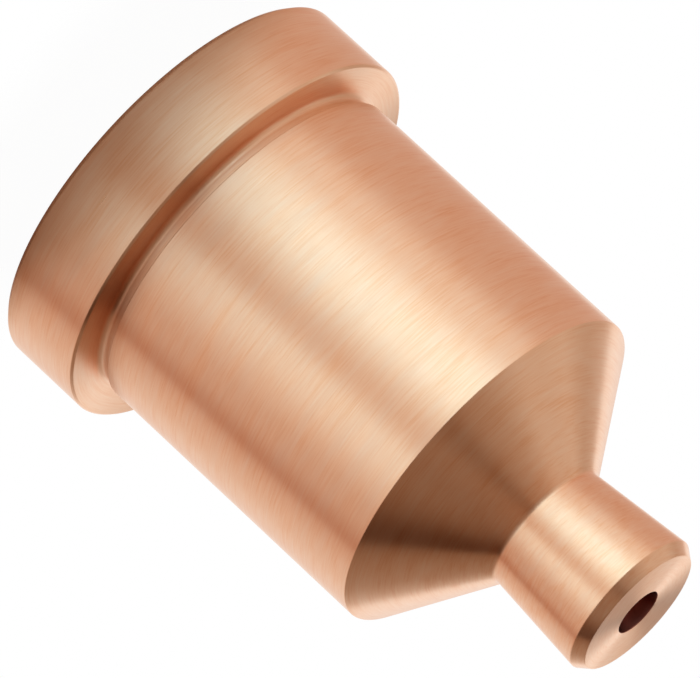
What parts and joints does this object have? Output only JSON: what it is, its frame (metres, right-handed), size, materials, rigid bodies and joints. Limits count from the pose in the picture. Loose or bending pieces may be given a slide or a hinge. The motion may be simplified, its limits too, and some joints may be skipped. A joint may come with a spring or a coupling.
{
  "type": "plasma torch nozzle",
  "caption": "Turned copper nozzle for a plasma cutting torch: flanged cup that seats a swirl ring, electrode chamber, converging cone, throat and a flared nose.",
  "frame": {"origin": "centre of the flange's rear face, which the nozzle stands on", "axes": "+Z along the axis of turning, from the rear face towards the nose; the part is round, so +X and +Y are free"},
  "size_m": [0.02, 0.02, 0.0293],
  "materials": {
    "copper": null
  },
  "bodies": {
    "root": {"nozzle": "copper"}
  },
  "joints": []
}
